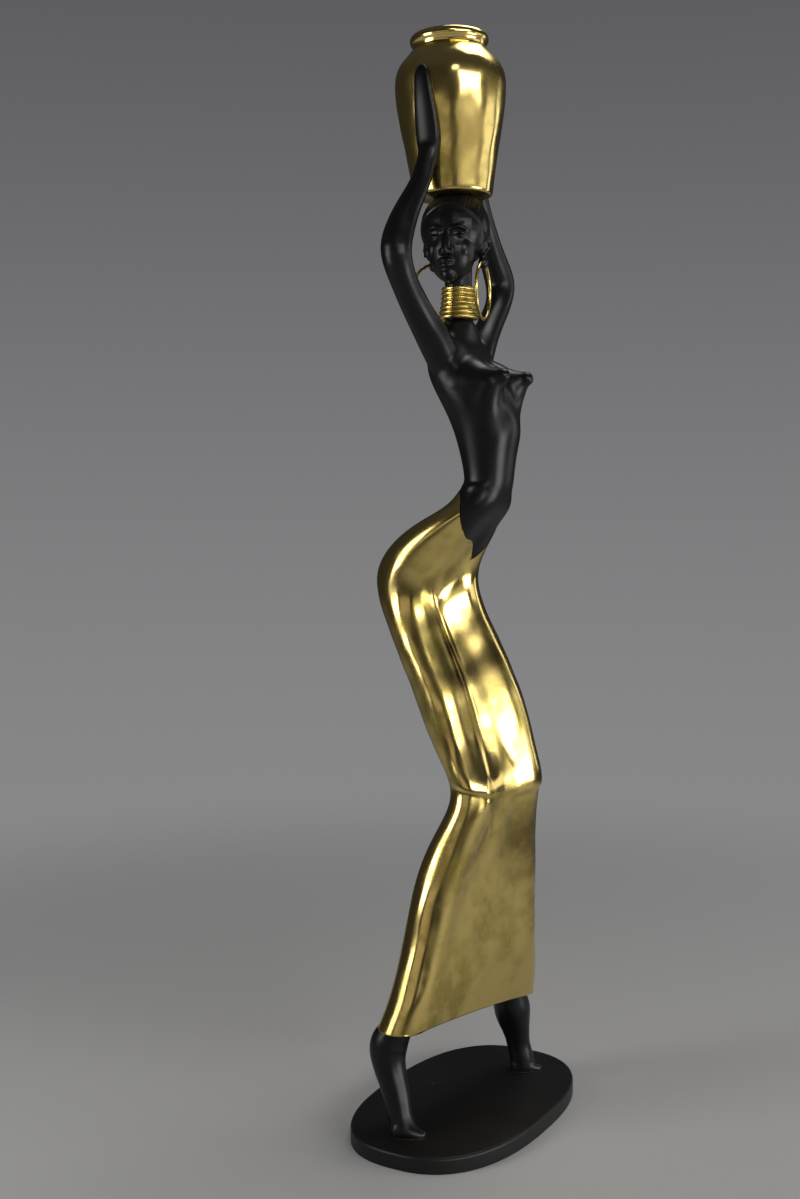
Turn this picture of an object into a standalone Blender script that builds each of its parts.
"""Standing woman who carries a jar on her head, cast in brass, partly painted black, on an oval foot plate.

Metres, +Z up. She faces -Y, her left hand is at +X, and the origin is the middle of the plate's underside.
The free forms are drawn on a grid that is 922 units from her soles to her crown: a place on the grid is
(across, forward, level), with across to her left and level counted so that her soles are at 16.
"""
import math

import bmesh
import bpy
import numpy as np
from mathutils import Matrix, Vector

# Driving sizes, in metres
FIGURE_HEIGHT = 1.100
BASE_LENGTH = 0.366
BASE_WIDTH = 0.219
BASE_THICKNESS = 0.019
BASE_EDGE_RADIUS = 0.004
JAR_HEIGHT = 0.189
JAR_FOOT_RADIUS = 0.0476
JAR_BELLY_RADIUS = 0.0660
JAR_NECK_RADIUS = 0.0434
JAR_LIP_RADIUS = 0.0468
JAR_LIP_HEIGHT = 0.013
JAR_WALL = 0.003
JAR_LEAN = math.radians(1.8)
COLLAR_HEIGHT = 0.0388
COLLAR_TOP_RADIUS = 0.0204
COLLAR_BOTTOM_RADIUS = 0.0246
COLLAR_RINGS = 7
NECK_RADIUS = 0.0160
NECK_CLEARANCE = 0.0005
HOOP_RADIUS = 0.0334
HOOP_WIRE_RADIUS = 0.0021
HOOP_CLEARANCE = 0.0004
HEM_WALL = 0.003
TOUCH_GAP = 0.0003
HAND_GAP = 0.0004

# The drawing grid
GRID_FIGURE = 922.0
GRID_SOLE = 16.0
GRID = FIGURE_HEIGHT / GRID_FIGURE
SOLE_HEIGHT = BASE_THICKNESS + TOUCH_GAP

# Facets
FIGURE_VOXEL = 0.0019
FIGURE_TRIANGLES = 2700
LEG_VOXEL = 0.0017
LEG_TRIANGLES = 400
SKIRT_COLUMNS = 40
SKIRT_ROWS = 21
JAR_SEGMENTS = 30
JAR_ROWS = 11
COLLAR_SEGMENTS = 16
HOOP_SEGMENTS = 28
HOOP_SIDES = 6
PLATE_CORNERS = 48

# Waist, hips and skirt: each line is a value at a level of the grid
HEM_LEVEL = 109.5
HEM_DROP = 4.5
HEM_ARCH = 4.0
CEILING_RISE = 6.0
WAIST_TOP = 645.0
SHIFT = [(108, -9), (133, -8), (202, -5), (270, -2), (345, 0), (645, 0)]
LEAN = [(108, -4.5), (133, 1), (202, 8), (253, 13), (287, 19), (320, 29), (342, 33.5), (385, 21.5),
        (450, -4), (514, -35), (547, -46), (566, -45), (595, -28), (612, -11), (628, 10.5), (645, 22)]
SPREAD = [(108, 89), (176, 72), (270, 51), (345, 34), (450, 28), (547, 21), (595, 17), (645, 8)]
STRIDE = [(108, 17), (228, 15), (303, 10), (345, 8), (385, 13), (450, 15), (514, 14), (579, 5), (645, 0)]
HALF_WIDTH = [(108, 23), (176, 22), (253, 24), (345, 24), (482, 26), (579, 28), (612, 26), (645, 22)]
HALF_DEPTH = [(108, 23), (133, 20.5), (202, 21), (253, 24), (287, 24.5), (320, 22.5), (345, 22), (417, 25.5),
              (482, 27.5), (531, 30.5), (566, 36.5), (590, 37), (612, 31), (628, 20.5), (645, 16)]
BRIDGE = [(108, 23), (270, 20), (303, 17), (345, 15), (385, 14), (450, 14), (540, 18), (575, 34), (612, 33), (645, 21)]
BLEND = [(108, 5), (345, 8), (450, 12), (540, 12), (645, 10)]
FOLD_HEIGHT = [(250, 0), (290, 2.6), (345, 3.4), (450, 3.4), (520, 2.6), (560, 0)]
FOLD_HALF_ANGLE = math.radians(6.5)

# Where the painted waist meets the brass skirt: seen from her left side, and seen from the front
WAIST_SIDE = [(-110, 637.5), (-20, 637.5), (-4, 636), (4.5, 631.5), (7.5, 623), (7.5, 611), (5, 598), (0, 586),
              (-8, 576), (-14, 569)]
WAIST_TURN = math.radians(11)
WAIST_TIP = 574.0
PAINTED_INSET = 0.9
CUTTER_REACH = 110.0

# Torso: level, forward, half width, half depth
TORSO = [(622, 8, 26, 19), (636, 19.4, 28, 20.5), (646, 23, 28.8, 21.5), (660, 23.8, 29.2, 23), (684, 23, 32.5, 26.8),
         (716, 19, 39, 33.5), (740, 8, 45, 34), (764, -4, 48, 31), (780, -9, 47, 24), (793, -10.5, 38, 18),
         (804, -11, 25, 15), (814, -11, 14, 13)]

# Arms: across, forward, level, radius, from inside the shoulder to the wrist
RIGHT_ARM = [(-34, -9, 768, 15), (-42, -12, 786, 17), (-58, -17, 807, 15.5), (-79, -20, 829, 13.8), (-96, -22.5, 852, 13.5),
             (-103, -24, 872, 15), (-94, -26, 892, 14.5), (-75, -25.5, 920, 12), (-57, -21, 951, 9.8),
             (-51, -19.5, 972, 9.2)]
LEFT_ARM = [(34, -7, 768, 14), (46, -11, 788, 16), (64, -13.5, 806, 14.5), (86, -16, 826, 13.5), (105.5, -18.5, 846, 14),
            (112.5, -20.5, 864, 15.5), (102, -22.5, 886, 14.5), (82, -23.5, 918, 12), (60, -20.5, 951, 9.8),
            (51, -18.5, 972, 9.2)]
BREAST = [(20, 6, 752, 27), (22.5, 20, 751.5, 23.5), (24.5, 34, 752, 17), (25.8, 46, 755, 10.3), (26.3, 53, 757.5, 5.2)]
RIB_CAGE = [(25, 39, 750, 15), (25, 37, 741, 15), (24, 35.5, 730, 14), (22, 34, 714, 14), (19, 28, 696, 14)]

# Legs: across, forward, level, radius, from under the skirt to the ankle
RIGHT_LEG = [(-94.5, -24, 128, 13), (-95, -28, 114, 15.5), (-97.5, -35.5, 98, 19), (-100, -35, 84, 17.5),
             (-103.5, -27.5, 64, 14.8), (-107.5, -19.5, 46, 13.4), (-111, -13.5, 30, 12.5), (-113, -9.5, 22, 12.5)]
LEFT_LEG = [(83, 11, 122, 13), (85, 10, 106, 15.5), (88.5, 9.5, 89, 19.5), (91, 10.5, 75, 18.5), (93.5, 13.5, 56, 14),
            (95, 15.5, 42, 12.6), (95.5, 18.5, 30, 13), (95.5, 19.5, 22, 13)]
RIGHT_FOOT = (-113.5, -3.5, 0.46, 0.89)
LEFT_FOOT = (96.5, 24.5, 0.60, 0.80)

# Head, in its own frame: left, forward, up from the middle of the head
HEAD_MIDDLE = (0, -16.5, 895)
HEAD_TURN = math.radians(77)
CROWN_LEVEL = 938.0

# Hoops: the lobe that each hangs from, and the turn of its plane from the head's own
HOOP_LOBE = {"right": (-24, -10, -22), "left": (28.2, -7, -21.5)}
HOOP_TURN = {"right": math.radians(-32), "left": 0.0}


def at(across, forward, level):
    """A grid place in metres."""
    return Vector((across * GRID, -forward * GRID, SOLE_HEIGHT + (level - GRID_SOLE) * GRID))


def smooth_line(stations, where):
    """Natural cubic spline through (place, value) stations."""
    knots = np.array([s[0] for s in stations], float)
    values = np.array([s[1] for s in stations], float)
    count = len(knots)
    step = np.diff(knots)
    system = np.eye(count)
    right = np.zeros(count)
    for i in range(1, count - 1):
        system[i, i - 1:i + 2] = (step[i - 1], 2 * (step[i - 1] + step[i]), step[i])
        right[i] = 6 * ((values[i + 1] - values[i]) / step[i] - (values[i] - values[i - 1]) / step[i - 1])
    bend = np.linalg.solve(system, right)
    where = np.clip(np.asarray(where, float), knots[0], knots[-1])
    i = np.clip(np.searchsorted(knots, where) - 1, 0, count - 2)
    h = step[i]
    before = (knots[i + 1] - where) / h
    after = (where - knots[i]) / h
    curve = ((before ** 3 - before) * bend[i] + (after ** 3 - after) * bend[i + 1]) * h * h / 6
    return before * values[i] + after * values[i + 1] + curve


def smooth_path(stations, count):
    """Points evenly spread along a smooth curve through stations of any width."""
    stations = np.array(stations, float)
    chord = np.linalg.norm(np.diff(stations[:, :3], axis=0), axis=1)
    length = np.concatenate([[0], np.cumsum(chord)])
    where = np.linspace(0, length[-1], count)
    columns = [smooth_line(list(zip(length, stations[:, k])), where) for k in range(stations.shape[1])]
    return np.stack(columns, axis=1)


def new_collection(name):
    collection = bpy.data.collections.new(name)
    bpy.context.scene.collection.children.link(collection)
    return collection


def add_mesh_object(name, mesh, collection):
    obj = bpy.data.objects.new(name, mesh)
    collection.objects.link(obj)
    return obj


def mesh_from(name, points, faces):
    mesh = bpy.data.meshes.new(name)
    mesh.from_pydata([tuple(p) for p in points], [], faces)
    mesh.validate()
    return mesh


def evaluated_mesh(obj):
    """The object's mesh with its modifiers, in world space."""
    bpy.context.view_layer.update()
    graph = bpy.context.evaluated_depsgraph_get()
    mesh = bpy.data.meshes.new_from_object(obj.evaluated_get(graph))
    mesh.transform(obj.matrix_world)
    return mesh


def apply_modifiers(obj):
    mesh = evaluated_mesh(obj)
    obj.modifiers.clear()
    obj.matrix_world = Matrix.Identity(4)
    obj.data = mesh


def paint(obj, material):
    obj.data.materials.clear()
    obj.data.materials.append(material)


def make_material(name, colour, roughness, metallic):
    material = bpy.data.materials.new(name)
    material.use_nodes = True
    shader = material.node_tree.nodes["Principled BSDF"]
    shader.inputs["Base Color"].default_value = (*colour, 1)
    shader.inputs["Roughness"].default_value = roughness
    shader.inputs["Metallic"].default_value = metallic
    return material


def as_cutter(obj):
    obj.hide_render = True
    obj.display_type = "WIRE"
    return obj


def boolean(obj, cutter, operation="DIFFERENCE"):
    modifier = obj.modifiers.new(cutter.name, "BOOLEAN")
    modifier.operation = operation
    modifier.object = cutter
    modifier.solver = "EXACT"


def turned(name, profile, collection, segments=48):
    """A profile of (radius, height) pairs, up the bore and down the outer side, turned about Z."""
    mesh = bpy.data.meshes.new(name)
    edges = [(i, i + 1) for i in range(len(profile) - 1)]
    if profile[0][0] > 0:
        edges.append((len(profile) - 1, 0))
    mesh.from_pydata([(radius, 0, height) for radius, height in profile], edges, [])
    obj = add_mesh_object(name, mesh, collection)
    screw = obj.modifiers.new("Turn", "SCREW")
    screw.steps = segments
    screw.render_steps = segments
    screw.use_merge_vertices = True
    screw.merge_threshold = 0.00001
    screw.use_smooth_shade = True
    return obj


class Blockout:
    """Closed shells that overlap, gathered in one mesh before they are fused."""

    def __init__(self):
        self.mesh = bmesh.new()

    def ball(self, centre, radii, frame=None):
        turn = (frame or Matrix.Identity(3)).to_4x4()
        place = Matrix.Translation(centre) @ turn @ Matrix.Diagonal((*radii, 1))
        bmesh.ops.create_uvsphere(self.mesh, u_segments=28, v_segments=18, radius=1, matrix=place)

    def tube(self, points, radii):
        """A tapering limb along a curve, with round ends."""
        curve = bpy.data.curves.new("limb", "CURVE")
        curve.dimensions = "3D"
        curve.bevel_depth = 1
        curve.bevel_resolution = 6
        curve.use_fill_caps = True
        spline = curve.splines.new("POLY")
        spline.points.add(len(points) - 1)
        for point, place, radius in zip(spline.points, points, radii):
            point.co = (*place, 1)
            point.radius = radius
        guide = bpy.data.objects.new("limb", curve)
        bpy.context.scene.collection.objects.link(guide)
        mesh = evaluated_mesh(guide)
        shell = bmesh.new()
        shell.from_mesh(mesh)
        bmesh.ops.remove_doubles(shell, verts=shell.verts, dist=0.00001)
        shell.to_mesh(mesh)
        shell.free()
        self.mesh.from_mesh(mesh)
        bpy.data.objects.remove(guide)
        self.ball(points[0], [radii[0]] * 3)
        self.ball(points[-1], [radii[-1]] * 3)

    def limb(self, stations, count=26):
        path = smooth_path(stations, count)
        self.tube([at(*row[:3]) for row in path], [row[3] * GRID for row in path])

    def loft(self, rings):
        points, faces = lofted(rings)
        self.mesh.from_mesh(mesh_from("loft", points, faces))

    def fused(self, name, voxel, collection):
        """The outer skin of all the shells as one even mesh."""
        mesh = bpy.data.meshes.new(name)
        self.mesh.to_mesh(mesh)
        self.mesh.free()
        obj = add_mesh_object(name, mesh, collection)
        remesh = obj.modifiers.new("Fuse", "REMESH")
        remesh.mode = "VOXEL"
        remesh.voxel_size = voxel
        apply_modifiers(obj)
        return obj


def lofted(rings):
    """Points and faces of a closed loft: each ring runs the same way round, from the top ring to the last."""
    count = len(rings[0])
    points = [p for ring in rings for p in ring]
    faces = []
    for row in range(len(rings) - 1):
        for i in range(count):
            a = row * count + i
            b = row * count + (i + 1) % count
            faces.append((a, b, b + count, a + count))
    for row, flip in ((0, True), (len(rings) - 1, False)):
        middle = len(points)
        ring = rings[row]
        points.append(sum((Vector(p) for p in ring), Vector()) / count)
        for i in range(count):
            a = row * count + i
            b = row * count + (i + 1) % count
            faces.append((middle, b, a) if flip else (middle, a, b))
    return points, faces


class Clay:
    """Moves the points of a mesh as a sculptor's brushes would."""

    def __init__(self, obj):
        self.obj = obj
        mesh = obj.data
        self.points = np.empty(len(mesh.vertices) * 3)
        mesh.vertices.foreach_get("co", self.points)
        self.points = self.points.reshape(-1, 3)
        edges = np.empty(len(mesh.edges) * 2, dtype=np.int64)
        mesh.edges.foreach_get("vertices", edges)
        self.edges = edges.reshape(-1, 2)
        self.degree = np.bincount(edges, minlength=len(self.points)).astype(float)

    def falloff(self, centre, radius):
        distance = np.linalg.norm(self.points - np.array(centre), axis=1) / radius
        return np.clip(1 - distance ** 2, 0, 1) ** 2

    def smooth(self, passes, weight=1.0):
        first, second = self.edges[:, 0], self.edges[:, 1]
        for _ in range(passes):
            total = np.zeros_like(self.points)
            for axis in range(3):
                total[:, axis] += np.bincount(first, self.points[second, axis], len(self.points))
                total[:, axis] += np.bincount(second, self.points[first, axis], len(self.points))
            change = total / self.degree[:, None] - self.points
            self.points += 0.5 * change * (weight if np.isscalar(weight) else weight[:, None])

    def smooth_at(self, centre, radius, passes):
        self.smooth(passes, self.falloff(centre, radius))

    def push(self, centre, radius, move):
        self.points += self.falloff(centre, radius)[:, None] * np.array(move)

    def done(self):
        self.obj.data.vertices.foreach_set("co", self.points.ravel())
        self.obj.data.update()


def reduce_triangles(obj, triangles):
    obj.data.calc_loop_triangles()
    modifier = obj.modifiers.new("Reduce", "DECIMATE")
    modifier.ratio = triangles / len(obj.data.loop_triangles)
    modifier.use_collapse_triangulate = True
    apply_modifiers(obj)


def skirt_middle(levels):
    """Across and forward places of the middle line."""
    return smooth_line(SHIFT, levels), smooth_line(LEAN, levels)


def skirt_radius(levels, angles, inset=0.0):
    """Distance from the middle line to the skirt, for angles from straight ahead towards her left.

    The section is one oval for each leg, with the cloth between them as a bar, all blended together.
    """
    spread, stride = smooth_line(SPREAD, levels), smooth_line(STRIDE, levels)
    width, depth = smooth_line(HALF_WIDTH, levels), smooth_line(HALF_DEPTH, levels)
    bridge, blend = smooth_line(BRIDGE, levels), smooth_line(BLEND, levels)
    reach = np.hypot(spread, stride)

    def oval(across, forward, side):
        x = (across - side * spread) / width
        y = (forward - side * stride) / depth
        size = np.hypot(x, y)
        slope = np.hypot(x / width, y / depth)
        return np.where(size < 1e-6, -np.minimum(width, depth), size * (size - 1) / np.maximum(slope, 1e-9))

    def bar(across, forward):
        along = np.clip((across * spread + forward * stride) / reach ** 2, -1, 1)
        return np.hypot(across - along * spread, forward - along * stride) - bridge

    def blended(one, other):
        mix = np.clip(0.5 + 0.5 * (other - one) / blend, 0, 1)
        return other * (1 - mix) + one * mix - blend * mix * (1 - mix)

    low, high = np.zeros(angles.shape), np.full(angles.shape, 170.0)
    for _ in range(26):
        radius = (low + high) / 2
        across, forward = radius * np.sin(angles), radius * np.cos(angles)
        field = blended(blended(oval(across, forward, 1), oval(across, forward, -1)), bar(across, forward))
        low = np.where(field < 0, radius, low)
        high = np.where(field < 0, high, radius)
    fold = smooth_line(FOLD_HEIGHT, levels) * (levels > FOLD_HEIGHT[0][0]) * (levels < FOLD_HEIGHT[-1][0])
    off_fold = np.angle(np.exp(1j * (angles - fold_angle(levels))))
    return radius + fold * np.exp(-(off_fold / FOLD_HALF_ANGLE) ** 2) - inset


def fold_angle(levels):
    """Where the valley between the thighs is: square to the line from leg to leg."""
    return np.arctan2(-smooth_line(STRIDE, levels), smooth_line(SPREAD, levels))


def skirt_angles(levels, columns):
    """Angles round the skirt, closer together at the fold."""
    even = np.arange(columns) / columns * 2 * math.pi
    return fold_angle(levels)[:, None] + (even - 0.5 * np.sin(even))[None, :]


def skirt_rows(levels, columns, inset=0.0):
    """Grid places of level rings round the skirt."""
    levels = np.asarray(levels, float)
    angles = skirt_angles(levels, columns)
    tall = np.repeat(levels[:, None], columns, axis=1)
    radius = skirt_radius(tall, angles, inset)
    across, forward = skirt_middle(tall)
    return across + radius * np.sin(angles), forward + radius * np.cos(angles), tall


def make_skirt(parts, cutters):
    shins = HEM_LEVEL + 90
    levels = np.concatenate([np.linspace(WAIST_TOP, shins, SKIRT_ROWS), np.linspace(shins, HEM_LEVEL, 5)[1:]])
    across, forward, level = skirt_rows(levels, SKIRT_COLUMNS)
    side = across[-1] - SHIFT[0][1]
    hem = hem_plane(across[-1]) + HEM_ARCH * (1 - (side / np.abs(side).max()) ** 2)
    fade = np.clip((shins - level) / (shins - HEM_LEVEL), 0, 1)
    level = level + fade * (hem - HEM_LEVEL)[None, :]
    rings = [[at(*p) for p in zip(across[r], forward[r], level[r])] for r in range(len(levels))]
    inner_across, inner_forward = hem_outline(HEM_WALL)
    rings.append([at(*p) for p in zip(inner_across, inner_forward, hem)])
    rings.append([at(a, f, hem_plane(a) + CEILING_RISE) for a, f in zip(inner_across, inner_forward)])
    points, faces = lofted(rings)
    skirt = add_mesh_object("skirt", mesh_from("skirt", points, faces), parts)
    mark = waist_region(cutters)
    boolean(skirt, mark)
    apply_modifiers(skirt)
    return skirt


def hem_plane(across):
    """Level of the slanting plane that the hem keeps to, lower at her left."""
    return HEM_LEVEL - HEM_DROP * (across - SHIFT[0][1]) / SPREAD[0][1]


def hem_outline(inset):
    """Places round the hem, across and forward, moved in from its outer side by an inset in metres."""
    across, forward, _ = skirt_rows([HEM_LEVEL], SKIRT_COLUMNS)
    across, forward = across[0], forward[0]
    along_across = np.roll(across, -1) - np.roll(across, 1)
    along_forward = np.roll(forward, -1) - np.roll(forward, 1)
    step = inset / GRID / np.hypot(along_across, along_forward)
    return across + step * along_forward, forward - step * along_across


def leg_trims(cutters):
    """Solids that end the legs at the ceiling inside the skirt and keep them clear of its hem."""
    slope = math.atan(HEM_DROP / SPREAD[0][1])
    middle = at(SHIFT[0][1], LEAN[0][1], HEM_LEVEL)
    gap = Vector((0, 0, TOUCH_GAP / math.cos(slope)))
    roof = box_cutter("leg_roof", middle + Vector((0, 0, CEILING_RISE * GRID)) - gap, (320, 160, 60), slope, cutters)
    sleeve = box_cutter("hem_sleeve", middle - gap, (320, 160, 60), slope, cutters)
    across, forward = hem_outline(HEM_WALL + 1.5 * TOUCH_GAP)
    rings = [[at(a, f, level) for a, f in zip(across, forward)] for level in (HEM_LEVEL + 90, HEM_LEVEL - 30)]
    opening = as_cutter(add_mesh_object("hem_opening", mesh_from("hem_opening", *lofted(rings)), cutters))
    boolean(sleeve, opening)
    apply_modifiers(sleeve)
    return [roof, as_cutter(sleeve)]


def waist_front(across):
    """Level of the painted belly's pointed lower edge."""
    return WAIST_TIP + 0.45 * abs(across) + 0.02 * across ** 2


def prism(name, outline, direction, turn, collection):
    """An outline of (horizontal, level) grid pairs, swept along X for "side" or along Y for "front"."""
    curve = bpy.data.curves.new(name, "CURVE")
    curve.dimensions = "2D"
    curve.fill_mode = "BOTH"
    curve.extrude = CUTTER_REACH * GRID
    spline = curve.splines.new("POLY")
    spline.points.add(len(outline) - 1)
    spline.use_cyclic_u = True
    for point, (flat, level) in zip(spline.points, outline):
        point.co = (flat * GRID, SOLE_HEIGHT + (level - GRID_SOLE) * GRID, 0, 1)
    guide = bpy.data.objects.new(name, curve)
    collection.objects.link(guide)
    stand = Matrix.Rotation(math.pi / 2, 4, "X")
    if direction == "side":
        stand = Matrix.Rotation(-math.pi / 2 - turn, 4, "Z") @ stand
    guide.matrix_world = stand
    mesh = evaluated_mesh(guide)
    shell = bmesh.new()
    shell.from_mesh(mesh)
    bmesh.ops.remove_doubles(shell, verts=shell.verts, dist=0.00001)
    bmesh.ops.recalc_face_normals(shell, faces=shell.faces)
    shell.to_mesh(mesh)
    shell.free()
    bpy.data.objects.remove(guide)
    return as_cutter(add_mesh_object(name, mesh, collection))


def waist_region(cutters):
    """What the painted waist fills, for the skirt to make room for: ahead of one line and above another."""
    side = smooth_path(WAIST_SIDE[1:], 16).tolist()
    ahead = [WAIST_SIDE[0]] + side + [(60, 540), (CUTTER_REACH, 540), (CUTTER_REACH, 660), (-CUTTER_REACH, 660)]
    region = prism("waist_region", ahead, "side", WAIST_TURN, cutters)
    front = [(x, waist_front(x)) for x in range(-48, 49, 6)]
    above = prism("waist_above", front + [(75, 700), (-75, 700)], "front", 0, cutters)
    boolean(region, above, "INTERSECT")
    apply_modifiers(region)
    return as_cutter(region)


def waist_cutters(cutters):
    """The two solids that trim the painted body at the same lines, moved off by the gap."""
    gap = TOUCH_GAP / GRID
    side = [(f + 1.6 * gap, level + 1.1 * gap) for f, level in smooth_path(WAIST_SIDE[1:], 16).tolist()]
    start = (WAIST_SIDE[0][0], WAIST_SIDE[0][1] + 1.1 * gap)
    behind = [start] + side + [(side[-1][0], 540), (-CUTTER_REACH, 540)]
    front = [(x, waist_front(x) + 1.6 * gap) for x in range(-48, 49, 6)]
    below = front + [(75, 540), (-75, 540)]
    return [prism("waist_behind", behind, "side", WAIST_TURN, cutters), prism("waist_below", below, "front", 0, cutters)]


def jar_profile():
    """Outer side of the jar as (height, radius), from the foot to the lip."""
    lip = JAR_HEIGHT - JAR_LIP_HEIGHT
    stations = [(0.004, JAR_FOOT_RADIUS), (0.018, JAR_FOOT_RADIUS * 1.012),
                (JAR_HEIGHT * 0.31, JAR_BELLY_RADIUS * 0.855), (JAR_HEIGHT * 0.5, JAR_BELLY_RADIUS * 0.952),
                (JAR_HEIGHT * 0.66, JAR_BELLY_RADIUS), (JAR_HEIGHT * 0.755, JAR_BELLY_RADIUS * 0.978),
                (JAR_HEIGHT * 0.82, JAR_BELLY_RADIUS * 0.885), (JAR_HEIGHT * 0.87, JAR_BELLY_RADIUS * 0.76),
                (lip - 0.003, JAR_NECK_RADIUS)]
    heights = np.linspace(stations[0][0], stations[-1][0], JAR_ROWS)
    return heights, smooth_line(stations, heights)


def jar_radius(height):
    heights, radii = jar_profile()
    return float(np.interp(height, heights, radii))


def jar_outline(grow=0.0):
    """Down the outer side from the lip's top to the middle of the foot, as (radius, height)."""
    heights, radii = jar_profile()
    turn = [math.radians(a) for a in range(90, -91, -45)]
    bulge = JAR_LIP_HEIGHT / 2
    lip = [(JAR_LIP_RADIUS - bulge * 0.55 + bulge * 0.55 * math.cos(a), JAR_HEIGHT - bulge + bulge * math.sin(a))
           for a in turn]
    side = list(zip(radii[::-1], heights[::-1]))
    foot = [(JAR_FOOT_RADIUS - 0.0012, 0.0012), (JAR_FOOT_RADIUS - 0.004, 0)]
    return [(radius + grow, height) for radius, height in lip + side + foot]


def jar_frame():
    """The jar stands on the crown and leans back a little."""
    seat = at(0, -18, CROWN_LEVEL) + Vector((0, 0, TOUCH_GAP))
    return Matrix.Translation(seat) @ Matrix.Rotation(-JAR_LEAN, 4, "X")


def make_jar(parts):
    outer = jar_outline()
    heights, radii = jar_profile()
    inner = [(0, JAR_WALL), (JAR_FOOT_RADIUS - JAR_WALL - 0.004, JAR_WALL)]
    inner += [(radius - JAR_WALL, height) for radius, height in zip(radii, heights) if height > JAR_WALL * 2]
    mouth = JAR_NECK_RADIUS - JAR_WALL
    inner += [(mouth + 0.0002, JAR_HEIGHT - JAR_LIP_HEIGHT * 0.45)]
    jar = turned("jar", inner + outer + [(0, 0)], parts, JAR_SEGMENTS)
    apply_modifiers(jar)
    jar.matrix_world = jar_frame()
    return jar


def collar_frame():
    return Matrix.Translation(at(0, -11.5, 816.5))


def collar_bore():
    return NECK_RADIUS + NECK_CLEARANCE


def make_collar(parts):
    pitch = COLLAR_HEIGHT / COLLAR_RINGS
    outer = []
    for ring in range(COLLAR_RINGS):
        share = ring / (COLLAR_RINGS - 1)
        radius = COLLAR_TOP_RADIUS + (COLLAR_BOTTOM_RADIUS - COLLAR_TOP_RADIUS) * share ** 2.2
        middle = COLLAR_HEIGHT - (ring + 0.5) * pitch
        for angle in (65, 0, -65):
            turn = math.radians(angle)
            outer.append((radius - pitch / 2 + pitch / 2 * math.cos(turn), middle + pitch / 2 * math.sin(turn)))
    bore = collar_bore()
    collar = turned("neck_rings", [(bore, 0.0004), (bore, COLLAR_HEIGHT - 0.0004)] + outer, parts, COLLAR_SEGMENTS)
    apply_modifiers(collar)
    collar.matrix_world = collar_frame()
    return collar


def head_frame():
    """Columns: her left, her face's direction, up."""
    return Matrix.Rotation(-HEAD_TURN, 3, "Z") @ Matrix.Diagonal((1, -1, 1))


def head_at(left, forward, up):
    return at(*HEAD_MIDDLE) + head_frame() @ Vector((left, forward, up)) * GRID


def head_ball(block, middle, radii):
    block.ball(head_at(*middle), [r * GRID for r in radii], head_frame())


def block_head(block):
    head_ball(block, (0, -4, 12), (33.5, 37, 37))
    head_ball(block, (0, 9, -10), (24, 25, 33))
    head_ball(block, (0, 19, -35), (9, 10, 9))
    for side in (-1, 1):
        head_ball(block, (side * 13, 19, -11), (9, 10, 12))
        head_ball(block, (side * 11.5, 25, 1), (6.2, 5, 3.6))
        head_ball(block, (side * 3.8, 33.5, -15.5), (3.2, 4, 3))
        head_ball(block, (side * 27.5, -6, -6), (4.6, 7, 12))
    for lobe in HOOP_LOBE.values():
        head_ball(block, lobe, (5.6, 5.6, 6.6))
    head_ball(block, (0, 25, 11), (19, 7.5, 9))
    nose = [(0, 29.5, 7, 3.0), (0, 33, -2, 3.1), (0, 36.5, -10, 3.6), (0, 37, -14.5, 4.1)]
    path = smooth_path(nose, 9)
    block.tube([head_at(*row[:3]) for row in path], [row[3] * GRID for row in path])
    head_ball(block, (0, 32, -23), (8.6, 4.6, 2.5))
    head_ball(block, (0, 31.5, -27.6), (7.2, 4.6, 2.9))


def finish_head(clay):
    for side in (-1, 1):
        clay.push(head_at(side * 11.5, 29, 8), 9 * GRID, head_frame() @ Vector((0, -0.6, -0.4)) * GRID)
        clay.smooth_at(head_at(side * 17, 20, -22), 13 * GRID, 8)
    clay.smooth_at(head_at(0, 27, 13), 14 * GRID, 6)
    clay.smooth_at(head_at(0, 24, -34), 9 * GRID, 5)
    frame = np.array(head_frame())
    local = (clay.points - np.array(at(*HEAD_MIDDLE))) @ frame / GRID
    over = local[:, 2] - (30 + 1.12 * (local[:, 1] - 28))
    near = (np.linalg.norm(local - np.array((0, -4, 8)), axis=1) < 48) & (np.abs(local[:, 0]) < 40)
    cap = np.clip(over / 2.0, 0, 1) * near * (local[:, 2] > -30)
    out = local - np.array((0, -4, 4))
    out /= np.maximum(np.linalg.norm(out, axis=1), 1e-6)[:, None]
    clay.points += (out @ frame.T) * (cap * 1.5 * GRID)[:, None]


def block_hand(block, side):
    """A long flat hand laid along the jar's side: across is measured from the jar's own axis."""
    frame = jar_frame()
    # level along the jar, forward, half width, half thickness of each slice
    slices = [(0.030, 0.2, 0.0108, 0.0072), (0.046, 0.6, 0.0138, 0.0062), (0.062, 1, 0.0152, 0.0052),
              (0.080, 0.8, 0.0146, 0.0045), (0.104, 0.4, 0.0120, 0.0040), (0.122, 0.1, 0.0106, 0.0037),
              (0.134, -0.1, 0.0070, 0.0033)]
    path = smooth_path(slices, 24)
    for height, forward, half_width, half_thickness in path:
        out = jar_radius(height) + half_thickness * 0.62
        place = frame @ Vector((side * out, -forward * 0.001, height))
        block.ball(place, (half_thickness, half_width, 0.0062))


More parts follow.
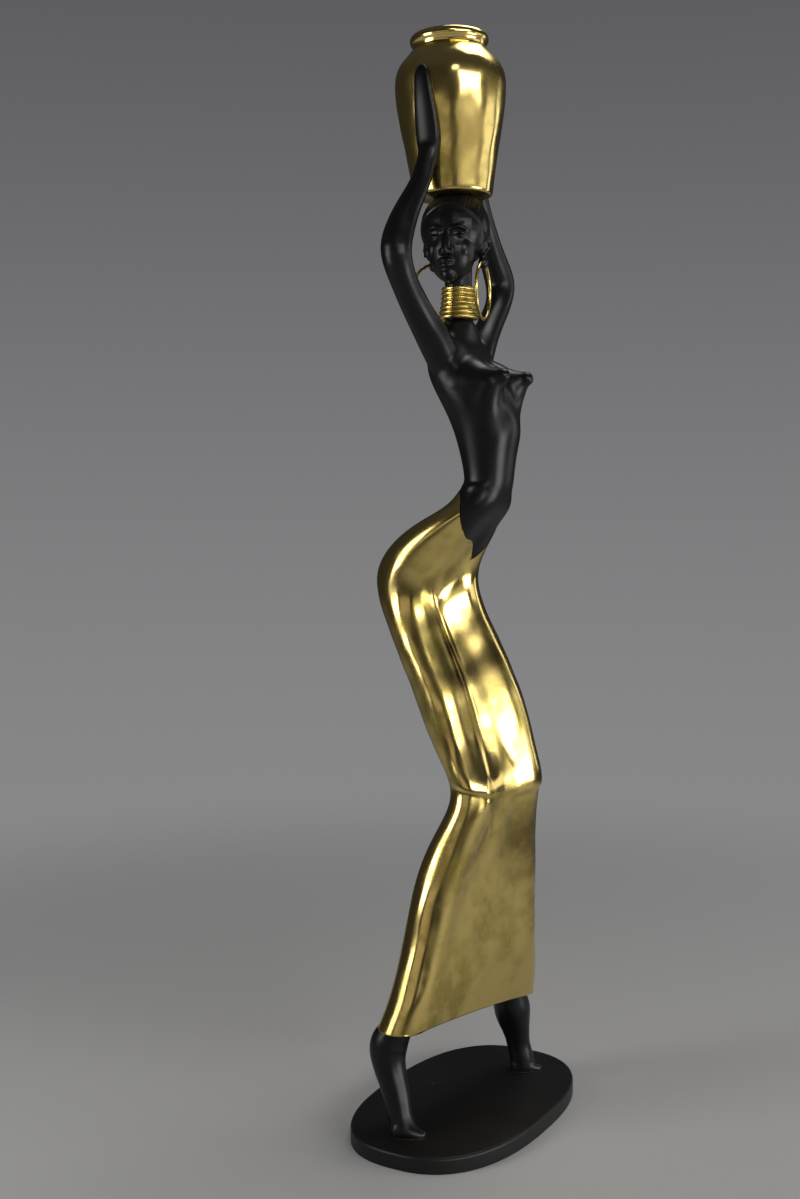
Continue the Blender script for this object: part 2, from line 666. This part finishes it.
def make_upper_body(parts, cutters):
    block = Blockout()
    levels = np.linspace(TORSO[0][0], TORSO[-1][0], 30)
    around = np.arange(36) / 36 * 2 * math.pi
    rings = []
    for level in levels[::-1]:
        forward, half_width, half_depth = (smooth_line([(t[0], t[k]) for t in TORSO], level) for k in (1, 2, 3))
        squared = 2.25
        x = half_width * np.sign(np.sin(around)) * np.abs(np.sin(around)) ** (2 / squared)
        y = half_depth * np.sign(np.cos(around)) * np.abs(np.cos(around)) ** (2 / squared)
        rings.append([at(a, forward + b, level) for a, b in zip(x, y)])
    block.loft(rings)
    across, forward, level = skirt_rows(np.linspace(WAIST_TOP, 558, 22), 48, PAINTED_INSET)
    block.loft([[at(*p) for p in zip(*row)] for row in zip(across, forward, level)])
    block.limb(RIGHT_ARM)
    block.limb(LEFT_ARM)
    for side in (-1, 1):
        block_hand(block, side)
        block.limb([(side * across, *rest) for across, *rest in BREAST], 14)
        block.limb([(side * across, *rest) for across, *rest in RIB_CAGE], 12)
    neck =[(0, -10.5, 800, 15.5), (0, -11.5, 818, 14.6), (0, -11.5, 850, 14.6), (0, -13, 868, 15)]
    block.limb(neck, 10)
    block_head(block)
    body = block.fused("upper_body", FIGURE_VOXEL, parts)
    clay = Clay(body)
    clay.smooth(2)
    for side in (-1, 1):
        clay.smooth_at(at(side * 44, -10, 778), 26 * GRID, 30)
        clay.smooth_at(at(side * 34, -2, 796), 20 * GRID, 30)
        clay.smooth_at(at(side * 20, 18, 752), 38 * GRID, 16)
        clay.smooth_at(at(side * 50, -18, 968), 16 * GRID, 12)
    clay.smooth_at(at(0, -10, 806), 18 * GRID, 14)
    clay.smooth_at(at(0, 16, 638), 48 * GRID, 30)
    finish_head(clay)
    clay.done()
    reduce_triangles(body, FIGURE_TRIANGLES)
    for cutter in waist_cutters(cutters) + fitting_cutters(cutters):
        boolean(body, cutter)
    apply_modifiers(body)
    return body


def fitting_cutters(cutters):
    """Room in the painted body for the jar, the collar and the hoops."""
    outline = [(0, JAR_HEIGHT)] + jar_outline(HAND_GAP) + [(0, 0)]
    jar = turned("jar_room", outline, cutters, JAR_SEGMENTS)
    jar.matrix_world = jar_frame() @ Matrix.Translation((0, 0, -TOUCH_GAP))
    bore = collar_bore()
    room = COLLAR_BOTTOM_RADIUS + TOUCH_GAP * 2
    low, high = -TOUCH_GAP * 2, COLLAR_HEIGHT + TOUCH_GAP * 2
    ring = [(bore - NECK_CLEARANCE, low), (bore - NECK_CLEARANCE, high), (room, high), (room, low)]
    collar = turned("collar_room", ring, cutters, COLLAR_SEGMENTS)
    collar.matrix_world = collar_frame()
    hoops = []
    for side in ("right", "left"):
        hoops.append(hoop(f"hoop_room_{side}", side, HOOP_WIRE_RADIUS + HOOP_CLEARANCE, cutters))
    return [as_cutter(obj) for obj in [jar, collar] + hoops]


def hoop(name, side, wire, collection):
    bpy.ops.mesh.primitive_torus_add(major_segments=HOOP_SEGMENTS, minor_segments=HOOP_SIDES,
                                     major_radius=HOOP_RADIUS, minor_radius=wire)
    ring = bpy.context.object
    ring.name = name
    ring.data.name = name
    for home in list(ring.users_collection):
        home.objects.unlink(ring)
    collection.objects.link(ring)
    stand = Matrix.Rotation(math.pi / 2, 4, "Y")
    turn = Matrix.Rotation(-HEAD_TURN + HOOP_TURN[side], 4, "Z")
    ring.matrix_world = Matrix.Translation(head_at(*HOOP_LOBE[side]) - Vector((0, 0, HOOP_RADIUS))) @ turn @ stand
    return ring


def make_leg(name, stations, foot, trims, parts, cutters):
    block = Blockout()
    block.limb(stations, 24)
    across, forward, toe_across, toe_forward = foot
    toes = Vector((toe_across, -toe_forward, 0)).normalized()
    side = Vector((0, 0, 1)).cross(toes)
    frame = Matrix((side, toes, Vector((0, 0, 1)))).transposed()
    for along, lift, radii in ((-9, 5, (9.5, 10, 11)), (0, 4, (10, 13, 10)), (6, 2, (9, 10, 7.5))):
        middle = at(across, forward, GRID_SOLE + lift) + toes * along * GRID
        block.ball(middle, [r * GRID for r in radii], frame)
    leg = block.fused(name, LEG_VOXEL, parts)
    clay = Clay(leg)
    clay.smooth(3)
    clay.smooth_at(at(across, forward, GRID_SOLE + 12), 20 * GRID, 10)
    clay.done()
    reduce_triangles(leg, LEG_TRIANGLES)
    floor = box_cutter(name + "_floor", at(across, forward, GRID_SOLE - 30), (70, 70, 30), 0, cutters)
    for cutter in [floor] + trims:
        boolean(leg, cutter)
    apply_modifiers(leg)
    return leg


def box_cutter(name, foot, size, slope, collection):
    """A box of the given grid size, from the middle of its underside, tipped towards her left."""
    box = bmesh.new()
    place = Matrix.Translation((0, 0, size[2] / 2 * GRID)) @ Matrix.Diagonal((*[s * GRID for s in size], 1))
    bmesh.ops.create_cube(box, size=1, matrix=place)
    mesh = bpy.data.meshes.new(name)
    box.to_mesh(mesh)
    box.free()
    obj = as_cutter(add_mesh_object(name, mesh, collection))
    obj.matrix_world = Matrix.Translation(foot) @ Matrix.Rotation(slope, 4, "Y")
    return obj


def make_base(parts):
    """A flat oval between an ellipse and a rectangle, with its upper edge rounded."""
    curve = bpy.data.curves.new("base", "CURVE")
    curve.dimensions = "2D"
    curve.fill_mode = "BOTH"
    curve.extrude = BASE_THICKNESS / 2
    squareness = 2 / 2.5
    spline = curve.splines.new("POLY")
    spline.points.add(PLATE_CORNERS - 1)
    spline.use_cyclic_u = True
    for i, point in enumerate(spline.points):
        turn = (i + 0.5) / PLATE_CORNERS * 2 * math.pi
        c, s = math.cos(turn), math.sin(turn)
        x = math.copysign(abs(c) ** squareness, c) * BASE_LENGTH / 2
        y = math.copysign(abs(s) ** squareness, s) * BASE_WIDTH / 2
        point.co = (x, y, 0, 1)
    guide = bpy.data.objects.new("base_outline", curve)
    parts.objects.link(guide)
    guide.location = (0, 0, BASE_THICKNESS / 2)
    mesh = evaluated_mesh(guide)
    bpy.data.objects.remove(guide)
    shell = bmesh.new()
    shell.from_mesh(mesh)
    bmesh.ops.remove_doubles(shell, verts=shell.verts, dist=0.00001)
    rim = [e for e in shell.edges if all(v.co.z > BASE_THICKNESS * 0.9 for v in e.verts) and len(e.link_faces) == 2
           and e.calc_face_angle(0) > 1]
    bmesh.ops.bevel(shell, geom=rim, offset=BASE_EDGE_RADIUS, segments=2, affect="EDGES", profile=0.5)
    shell.to_mesh(mesh)
    shell.free()
    return add_mesh_object("base", mesh, parts)


def main():
    for obj in list(bpy.data.objects):
        bpy.data.objects.remove(obj)
    parts = new_collection("water_carrier")
    cutters = new_collection("cutters")
    brass = make_material("polished brass", (0.52, 0.38, 0.12), 0.18, 1)
    black = make_material("black paint", (0.012, 0.012, 0.014), 0.32, 0)
    plate = make_material("black base paint", (0.02, 0.02, 0.021), 0.5, 0)
    paint(make_base(parts), plate)
    trims = leg_trims(cutters)
    paint(make_leg("leg_right", RIGHT_LEG, RIGHT_FOOT, trims, parts, cutters), black)
    paint(make_leg("leg_left", LEFT_LEG, LEFT_FOOT, trims, parts, cutters), black)
    paint(make_skirt(parts, cutters), brass)
    paint(make_upper_body(parts, cutters), black)
    paint(make_collar(parts), brass)
    for side in ("right", "left"):
        paint(hoop(f"earring_{side}", side, HOOP_WIRE_RADIUS, parts), brass)
    paint(make_jar(parts), brass)
    for obj in parts.objects:
        obj.data.shade_smooth()


main()
